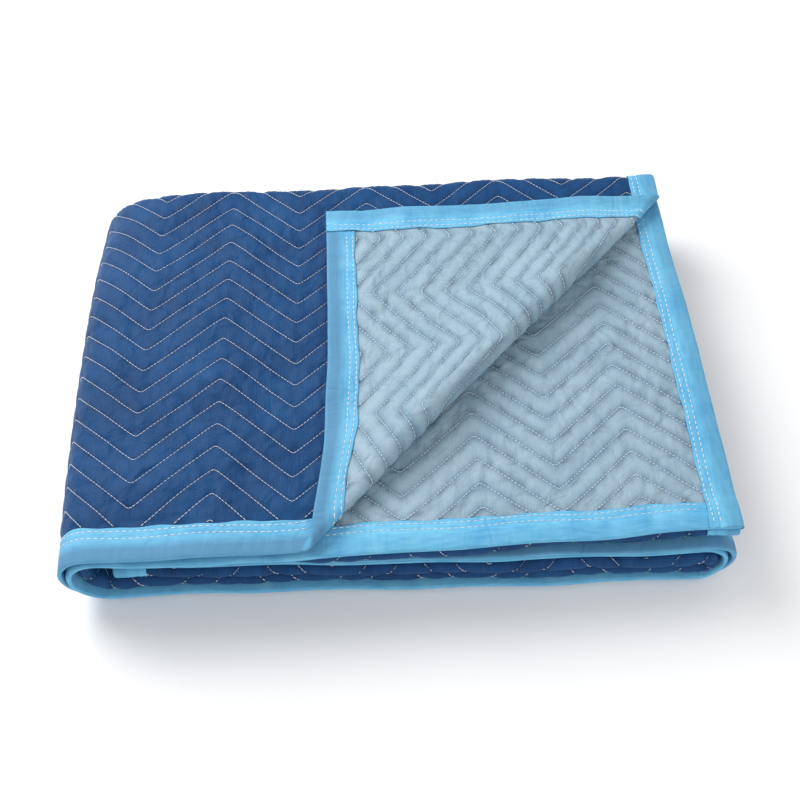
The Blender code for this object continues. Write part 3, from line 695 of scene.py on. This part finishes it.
def thread_piece(name, centres, ways, heights, long, wide, made):
    """Short raised dashes, one for each stitch, laid along flat directions."""
    s, t = centres
    ds, dt = ways
    # the dash's corners: ahead as a share of its length, beside and up of its width
    shape = [(-0.5, 0.0, -0.15), (-0.3, -0.5, -0.15), (-0.3, 0.5, -0.15),
             (-0.3, 0.0, 0.6), (0.3, -0.5, -0.15), (0.3, 0.5, -0.15), (0.3, 0.0, 0.6),
             (0.5, 0.0, -0.15)]
    corners = []
    side = np.sign(heights)
    for ahead, beside, up in shape:
        corners.append(place(s + ahead * long * ds - beside * wide * dt,
                             t + ahead * long * dt + beside * wide * ds,
                             heights + side * up * wide))
    points = np.stack(corners, axis=1).reshape(-1, 3)
    faces = np.array([(0, 2, 1, 1), (0, 1, 3, 3), (0, 3, 2, 2), (1, 2, 5, 4),
                      (1, 4, 6, 3), (3, 6, 5, 2), (7, 4, 5, 5), (7, 6, 4, 4), (7, 5, 6, 6)])
    every = (faces[None, :, :] + 8 * np.arange(len(s))[:, None, None])
    turn = side > 0
    every[turn] = every[turn][:, :, ::-1]
    listed = [list(dict.fromkeys(f)) for f in every.reshape(-1, 4).tolist()]
    return mesh_piece(name, points, listed, [made])


def quilting_stitches():
    """Centres, directions and sides of all the stitches that show."""
    slope = math.hypot(ZIGZAG_HALF, ZIGZAG_RISE)
    each = round(slope / STITCH)
    found = []
    for column in range(-2, int(LONG / ZIGZAG_HALF) + 1):
        for row in range(-4, int(SHORT / ROW) + 1):
            part = column + (np.arange(each) + 0.5) / each
            t = ROW_START + ROW * row + ZIGZAG_RISE * zigzag(part)
            s = ZIGZAG_START + ZIGZAG_SKEW * t + ZIGZAG_HALF * part
            dt = ZIGZAG_RISE * (zigzag(part + 0.01) - zigzag(part - 0.01)) / 0.02
            found.append(np.stack([s, t, ZIGZAG_HALF + ZIGZAG_SKEW * dt, dt], axis=1))
    found = np.concatenate(found)
    found[:, 2:] /= np.hypot(found[:, 2], found[:, 3])[:, None]
    s, t = found[:, 0], found[:, 1]
    edge = np.minimum(np.minimum(s, LONG - s), np.minimum(t, SHORT - t))
    inside = edge > BINDING_WIDTH + 0.0008      # they run on up to the tape
    dark = inside & shows_dark(s, t)
    pale = inside & shows_pale(s, t)
    return (np.concatenate([found[dark], found[pale]]),
            np.concatenate([np.ones(dark.sum()), -np.ones(pale.sum())]))


def thread_material(name, colour, rough):
    """Twisted filament thread: one colour, a little shine, and painted shade of its twist,
    laid on as random darker patches.
    """
    made, tree, shader = new_material(name)
    place_of = node(tree, "ShaderNodeTexCoord").outputs["Object"]
    # painted shade: random darker patches stand in for the shade in the grooves between the
    # twist's turns
    painted_twist_shade = noise(tree, place_of, 700.0, 1.0)
    dark = tuple(c * 0.82 for c in hex_colour(colour)[:3]) + (1.0,)
    mixed = node(tree, "ShaderNodeMix", {"data_type": "RGBA"},
                 {6: dark, 7: hex_colour(colour)},
                 {0: ranged(tree, painted_twist_shade, 0.3, 0.7)}).outputs[2]
    tree.links.new(mixed, shader.inputs["Base Color"])
    shader.inputs["Roughness"].default_value = rough
    return made


stitches, sides = quilting_stitches()
# Pale polyester thread: near white, a little cool, standing out from the navy.
thread = thread_material("polyester_thread_pale", "#e4edfb", 0.5)
heights = sides * (half_thickness(stitches[:, 0], stitches[:, 1]) + STITCH_HIGH)
wide = np.where(sides > 0.0, STITCH_WIDE, STITCH_WIDE_BACK)
quilting = thread_piece("quilting_thread", stitches[:, :2].T, stitches[:, 2:].T, heights,
                        STITCH_LONG, wide, thread)

# ---- Binding tape -----------------------------------------------------------------
# Four strips of light blue nonwoven tape, doubled over the pad's cut edges and sewn through
# with two rows of stitches.  It is pressed flat between the rows and its inner edge, and
# stands off a little towards the fold; its colour is drawn greyer towards the free outer
# part and the nose.
TAPE_INSIDE = 0.00165       # from mid-cloth to the inside of the tape
NOSE_IN = 0.0008            # its inside stands this far past the cloth's edge
RAGGED = (0.0007, 0.0005)   # the inner edge's waves
RIPPLE = 0.00028            # how far the free part ripples off the cloth
WANDER = 0.0004             # and along it
LAP = BINDING_WIDTH + 0.002     # an end strip lies over this much of the long strips
LAP_STEP = 0.0040           # and in how much it comes down to the cloth again
LAP_RISE = 0.0011 + 0.0005  # and how far it stands off them

# across the tape: share of its width, and height over its inside, which is low at its
# inner edge and at both rows of stitches
TAPE_HEIGHTS = [(1.0, 0.00045), (0.965, 0.0007), (0.93, 0.0006), (0.893, 0.00035),
                (0.86, 0.0006), (0.79, 0.00075), (0.72, 0.0006), (0.68, 0.00035),
                (0.64, 0.0006), (0.56, 0.0009), (0.44, 0.0011), (0.30, 0.0011),
                (0.16, 0.0010), (0.04, 0.0009)]


def tape_section(inside):
    """Closed section: how far in from the edge, how far off mid-cloth, free share."""
    upper = [(BINDING_WIDTH * f, inside + h, 1.0 - min(1.0, max(0.0, (f - 0.3) / 0.3)))
             for f, h in TAPE_HEIGHTS]
    nose = [(-0.0010, inside + 0.0003, 0.6), (-EDGE_OUT, inside * 0.35, 0.3)]
    outer = upper + nose + [(d, -o, w) for d, o, w in reversed(upper + nose)]
    reach = BINDING_WIDTH
    inner = [(reach, -inside, 0.0), (reach * 0.5, -inside, 0.0), (-NOSE_IN, -inside, 0.0),
             (-NOSE_IN, inside, 0.0), (reach * 0.5, inside, 0.0), (reach, inside, 0.0)]
    return np.array(outer + inner)


def tape(name, along, flat_of, inside_at, phase, greyer_free_part):
    """A strip of tape over one edge; flat_of turns along and inward into s and t, and the
    last argument is how much greyer its free part and nose are drawn."""
    rings = []
    spots = []
    pressed = []
    for at in along:
        section = tape_section(inside_at(at))
        inward = section[:, 0].copy()
        ragged = (RAGGED[0] * math.sin(at * 71.0 + phase)
                  + RAGGED[1] * math.sin(at * 163.0))
        inward += ragged * np.clip(inward / BINDING_WIDTH, 0.0, 1.0) ** 4
        off = section[:, 1].copy()
        loose = section[:, 2]
        # the free part and the nose are drawn greyer, by the share given for this strip
        pressed.append(1.0 - greyer_free_part * (0.3 + 0.7 * loose))
        ripple = (math.sin(at * 190.0 + phase + 1.7 * math.sin(at * 37.0))
                  + 0.7 * math.sin(at * 331.0 + phase))
        off += np.sign(off) * loose * RIPPLE * ripple
        inward -= loose * WANDER * math.sin(at * 83.0 + 2.0 * phase)
        s, t = flat_of(at, inward)
        rings.append(place(s, t, off))
        around = np.arange(len(off)) * 0.0022       # about the way from point to point
        spots.append(np.stack([np.full(len(off), at), around], axis=1))
    ring = len(rings[0])
    points = np.concatenate(rings)
    k = np.arange(ring)
    first = np.arange(len(rings) - 1)[:, None] * ring
    quads = np.stack([first + k, first + (k + 1) % ring, first + ring + (k + 1) % ring,
                      first + ring + k], axis=-1).reshape(-1, 4)
    faces = quads.tolist()
    # the end faces: the outer profile's points are fanned to the inner one's six,
    # which come last in a ring, and the fan changes over at the tape's middle
    half = (ring - 6) // 2
    middle = 8
    last = 2 * half - 1
    for start, turned in ((0, False), ((len(rings) - 1) * ring, True)):
        caps = [[half - 1, half, ring - 3, ring - 4]]
        caps += [[m, m + 1, ring - 2 if m < middle else ring - 3] for m in range(half - 1)]
        caps += [[middle, ring - 3, ring - 2], [0, ring - 2, ring - 1]]
        caps += [[last - 1 - m, last - m, ring - 5 if m < middle else ring - 4]
                 for m in range(half - 1)]
        caps += [[last - middle, ring - 5, ring - 4], [last, ring - 6, ring - 5]]
        for cap in caps:
            faces.append([start + c for c in (cap if turned else cap[::-1])])
    flat = np.concatenate(spots)
    piece = mesh_piece(name, points, faces, [tape_cloth], flat, np.concatenate(pressed))
    return piece


def spread(marks):
    """Places along a strip, from its start and then pairs: an end, the step up to it."""
    places = [marks[0]]
    for end, step in marks[1:]:
        count = max(1, math.ceil((end - places[-1]) / step))
        places += list(np.linspace(places[-1], end, count + 1)[1:])
    return places


def nonwoven(name, dark, light, greyer_free_part):
    """Spunbond tape: bonded points 1.6 mm apart, drawn coarser than they are, streaks along
    it, soft creases across it, and greyer where it stands free, by the share given for each
    strip."""
    made, tree, shader = new_material(name)
    flat = node(tree, "ShaderNodeUVMap", {"uv_map": "flat_cloth"}).outputs["UV"]
    bonds = node(tree, "ShaderNodeTexVoronoi", (), {"Scale": 620.0, "Randomness": 0.35},
                 {"Vector": flat}).outputs["Distance"]
    streak = noise(tree, stretched(tree, flat, 60.0, 500.0), 1.0, 4.0)
    cloud = noise(tree, flat, 30.0, 4.0)
    mixed = scaled_and_added(tree, streak, 0.9, cloud)
    colour = two_colours(tree, ranged(tree, mixed, 0.6, 1.25), dark, light)
    sewn = node(tree, "ShaderNodeAttribute", {"attribute_name": "fullness"}).outputs["Fac"]
    # mixed towards the greyer colour where the tape stands free and at its nose
    colour = two_colours(tree, ranged(tree, sewn, 0.0, 1.0, 0.92, 0.0), colour, greyer_free_part)
    tree.links.new(colour, shader.inputs["Base Color"])
    bumped = bump(tree, bonds, 0.35, 0.0004)
    creases = noise(tree, stretched(tree, flat, 52.0, 34.0), 1.0, 2.2, {"Distortion": 1.3})
    bumped = bump(tree, creases, 1.0, 0.0022, bumped)
    tree.links.new(bumped, shader.inputs["Normal"])
    shader.inputs["Roughness"].default_value = 0.65
    shader.inputs["Specular IOR Level"].default_value = 0.3
    return made


# Spunbond polypropylene: bright sky blue, matt, without a weave.
tape_cloth = nonwoven("spunbond_polypropylene_blue", "#4ba6d8", "#80ceef", "#5287ac")
S1, S2, S3, S4 = [float(m) for m in S_MARKS[1:5]]
T1, T2, T3, T4, T5, T6 = [float(m) for m in T_MARKS[1:7]]


def thin(at):
    """A long strip lies on the cloth all along."""
    return TAPE_INSIDE


def lapped(at):
    """An end strip stands over the long strips at both its ends."""
    near = min(at, SHORT - at)
    return TAPE_INSIDE + LAP_RISE * (1.0 - float(smooth((near - LAP) / LAP_STEP)))


long_places = spread([0.0, (0.34, 0.004), (0.43, 0.0016), (S1, 0.004), (S2, 0.003),
                      (S3, 0.006), (S4, 0.003), (LONG, 0.006)])
top_tape = tape("binding_top_layer_edge_tape", long_places,
                lambda at, inward: (at, inward), thin, 0.0, 1.0)
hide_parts("binding_top_layer_edge")
second_places = spread([0.0, (0.50, 0.004), (S1, 0.006), (S2, 0.003), (S3, 0.006),
                        (S4, 0.003), (LONG, 0.006)])
second_tape = tape("binding_second_layer_edge_tape", second_places,
                   lambda at, inward: (at, SHORT - inward), thin, 2.0, 0.35)
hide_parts("binding_second_layer_edge")
outer_places = spread([-EDGE_OUT, (0.34, 0.004), (0.43, 0.0016), (T1, 0.004), (T2, 0.002),
                       (T3, 0.012), (T4, 0.001), (T5, 0.012), (T6, 0.001),
                       (SHORT - LAP - LAP_STEP, 0.004), (SHORT + EDGE_OUT, 0.002)])
outer_tape = tape("binding_outer_end_tape", outer_places, lambda at, inward: (inward, at),
                  lapped, 4.0, 0.6)
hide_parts("binding_outer_end")
inner_places = spread([-EDGE_OUT, (0.05, 0.003), (T1, 0.010), (T2, 0.002), (T3, 0.012),
                       (T4, 0.001), (T5, 0.012), (T6, 0.001),
                       (SHORT - LAP - LAP_STEP, 0.010), (SHORT + EDGE_OUT, 0.002)])
inner_tape = tape("binding_inner_end_tape", inner_places,
                  lambda at, inward: (LONG - inward, at), lapped, 6.0, 0.5)
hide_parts("binding_inner_end")

# ---- Binding thread ---------------------------------------------------------------
# White thread in the tape's two rows, six and a half millimetres a stitch, sewn by
# hand-guided machine, so a row wanders a little.
TAPE_ROWS = (0.0268, 0.0204)        # the two rows, from the pad's edge
TAPE_STITCH = 0.0064        # from one stitch to the next
TAPE_STITCH_LONG = 0.0050   # length of thread that shows
TAPE_STITCH_WIDE = 0.0010   # and its width
TAPE_STITCH_HIGH = 0.00065  # its middle lies this much over the tape's inside
ROW_WANDER = 0.0005         # how far a row wanders


def tape_stitches():
    """Centres, directions and heights of the stitches in the tape that shows."""
    found = []
    for inward in TAPE_ROWS:
        for edge, start, end, side in (("t0", 0.0, 0.395, -1), ("t0", 0.412, S2, 1),
                                       ("t1", 0.0, 0.47, -1), ("s0", 0.0, 0.395, -1),
                                       ("s0", 0.412, T2, 1), ("s0", T6, SHORT, -1)):
            at = np.arange(start + 0.002, end - 0.002, TAPE_STITCH)
            if edge == "s0":
                at = at[(at > 0.004) & (at < SHORT - 0.004)]
                inside = np.array([lapped(a) for a in at])
            else:
                at = at[at > LAP + 0.004]
                inside = np.full(len(at), TAPE_INSIDE)
            inner = inward + ROW_WANDER * np.sin(at * 41.0 + inward * 900.0)
            height = side * (inside + TAPE_STITCH_HIGH)
            one = np.ones(len(at))
            if edge == "t0":
                found.append(np.stack([at, inner, one, 0.0 * one, height], axis=1))
            elif edge == "t1":
                found.append(np.stack([at, SHORT - inner, one, 0.0 * one, height], axis=1))
            else:
                found.append(np.stack([inner, at, 0.0 * one, one, height], axis=1))
    return np.concatenate(found)


# White polyester thread: the brightest thing on the blanket.
white_thread = thread_material("polyester_thread_white", "#f6f9fd", 0.5)
sewn = tape_stitches()
binding_thread = thread_piece("binding_thread", sewn[:, :2].T, sewn[:, 2:4].T, sewn[:, 4],
                              TAPE_STITCH_LONG, TAPE_STITCH_WIDE, white_thread)

# ---- Stage ------------------------------------------------------------------------
# A plain pale floor, a large soft light over the back left, a fill from the front, and
# the camera above the front of the pack.
FLOOR_UNDER = -0.0004       # so that the cloth and the floor share no plane
bpy.ops.object.select_all(action="DESELECT")
bpy.ops.mesh.primitive_plane_add(size=12.0, location=(0.0, 0.0, FLOOR_UNDER))
floor = bpy.context.object
floor.name = "floor"
# Matt white paint: pale, plain and without shine.
paint, tree, shader = new_material("matt_white_paint")
shader.inputs["Base Color"].default_value = hex_colour("#fbfbfc")
shader.inputs["Roughness"].default_value = 0.9
floor.data.materials.append(paint)

world = bpy.data.worlds.new("studio")
bpy.context.scene.world = world
world.use_nodes = True
world.node_tree.nodes["Background"].inputs[0].default_value = (1.0, 1.0, 1.0, 1.0)
world.node_tree.nodes["Background"].inputs[1].default_value = 0.62
bpy.context.scene.view_settings.view_transform = "Standard"


def soft_light(name, spot, aim, size, power):
    """A square light at a spot, turned to what it aims at."""
    data = bpy.data.lights.new(name, "AREA")
    data.size = size
    data.energy = power
    lamp = bpy.data.objects.new(name, data)
    bpy.context.collection.objects.link(lamp)
    way = np.array(aim) - np.array(spot)
    way = way / np.linalg.norm(way)
    side = np.cross(way, (0.0, 0.0, 1.0))
    side = side / np.linalg.norm(side)
    up = np.cross(side, way)
    lamp.matrix_world = Matrix([[side[k], up[k], -way[k], spot[k]] for k in range(3)]
                               + [[0.0, 0.0, 0.0, 1.0]])


soft_light("key", (-1.1, 1.0, 1.5), (0.0, 0.0, 0.05), 1.2, 38.0)
soft_light("fill", (0.9, -1.3, 1.2), (0.0, 0.0, 0.05), 1.6, 7.0)

# the camera looks to the back and down
azimuth, elevation = math.radians(-2.878), math.radians(58.866)
forward = (-math.sin(azimuth) * math.cos(elevation),
           math.cos(azimuth) * math.cos(elevation), -math.sin(elevation))
right = (math.cos(azimuth), math.sin(azimuth), 0.0)
upward = np.cross(right, forward)
lens = bpy.data.cameras.new("camera")
lens.sensor_width = 36.0
lens.lens = 42.54
camera = bpy.data.objects.new("camera", lens)
bpy.context.collection.objects.link(camera)
spot = (-0.01615, -0.55869, 0.91773)
camera.matrix_world = Matrix([[right[k], upward[k], -forward[k], spot[k]]
                              for k in range(3)] + [[0.0, 0.0, 0.0, 1.0]])
bpy.context.scene.camera = camera
